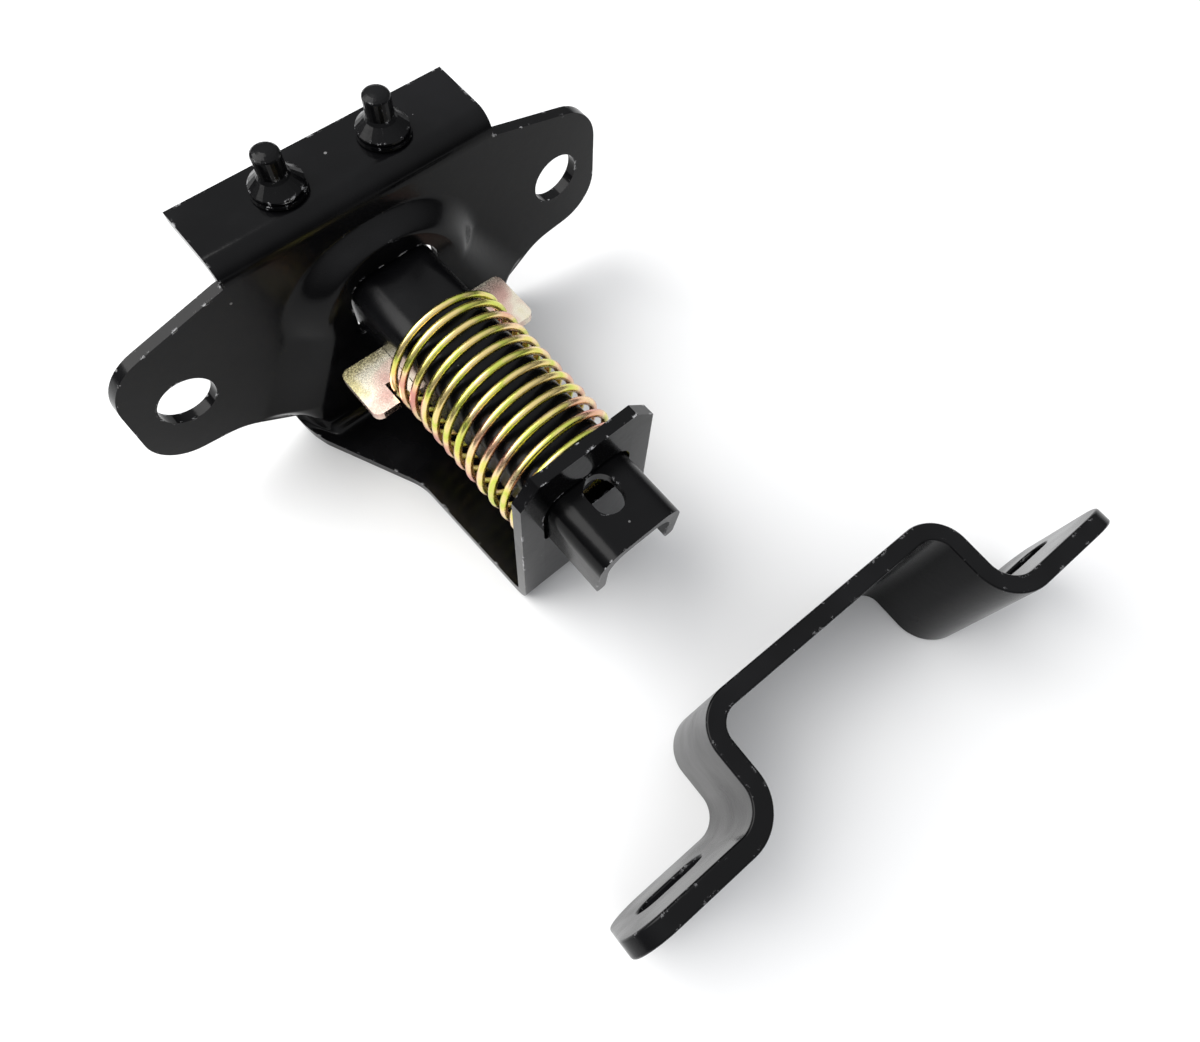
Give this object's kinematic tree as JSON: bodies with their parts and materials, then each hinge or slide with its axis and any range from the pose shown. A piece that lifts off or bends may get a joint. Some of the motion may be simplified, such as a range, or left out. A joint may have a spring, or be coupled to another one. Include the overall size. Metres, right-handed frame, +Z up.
{
  "type": "spring bolt gate latch with striker",
  "caption": "Pressed-steel spring bolt latch for a gate, with its loose hat-shaped striker.",
  "frame": {"origin": "underside of the bracket's tongue, on the latch's plane of symmetry, 25 mm in front of the wall's front face", "axes": "+X along the ears, -Y the way the bolt's nose points, +Z up from the surface the latch rests on"},
  "size_m": [0.1092, 0.1219, 0.0525],
  "materials": {
    "black_paint": "semi-gloss black",
    "yellow_zinc": "yellow passivated zinc plate"
  },
  "bodies": {
    "bracket": {"bracket": "black_paint", "stud_left": "black_paint", "stud_right": "black_paint", "stud_ring_left": "black_paint", "stud_ring_right": "black_paint", "spring": "yellow_zinc"},
    "bolt": {"bolt": "black_paint", "cross_key": "yellow_zinc"},
    "striker": {"striker": "black_paint"}
  },
  "joints": [
    {"name": "bolt_slide", "type": "slide", "parent": "bracket", "child": "bolt", "axis": [0, -1, 0], "range_m": [0, 0.01], "stiffness_N_per_m": 300, "springref_m": -0.006, "deforming": ["spring"]},
    {"name": "striker_lift", "type": "slide", "parent": "bracket", "child": "striker", "axis": [0, 0, 1], "range_m": [0, 0.04]}
  ]
}
